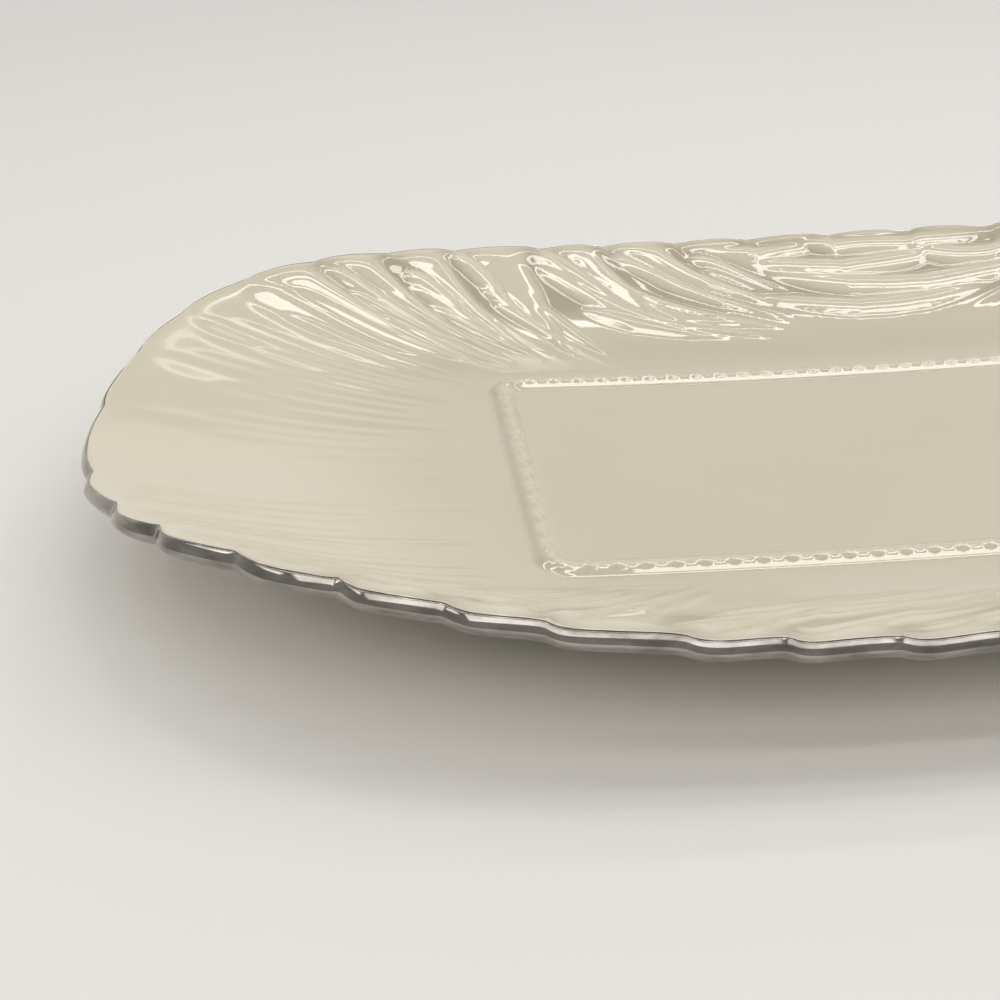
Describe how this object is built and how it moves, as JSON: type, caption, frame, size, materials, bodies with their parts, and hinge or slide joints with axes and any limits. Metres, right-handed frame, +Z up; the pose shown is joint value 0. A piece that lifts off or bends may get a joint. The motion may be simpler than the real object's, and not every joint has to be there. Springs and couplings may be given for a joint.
{
  "type": "butter tray",
  "caption": "Oblong china butter tray with a flat well inside a beaded ridge, a wide fluted flare, a scalloped lip with a platinum band and a foot ring.",
  "frame": {"origin": "under the centre of the tray, on the plane its foot ring stands on", "axes": "+X along the tray's length, +Y across it towards the far long side, +Z up out of the well"},
  "size_m": [0.2414, 0.1152, 0.022],
  "materials": {
    "ivory_glaze": "glossy ivory glaze",
    "ridge_glaze": "glossy ivory glaze, thinner on the beads",
    "platinum": "mirror-bright fired platinum",
    "bare_china": "matt unglazed standing ring"
  },
  "bodies": {
    "root": {"tray_body": "ivory_glaze", "beaded_ridge": "ridge_glaze", "platinum_band": "platinum", "foot_ring": "bare_china"}
  },
  "joints": []
}
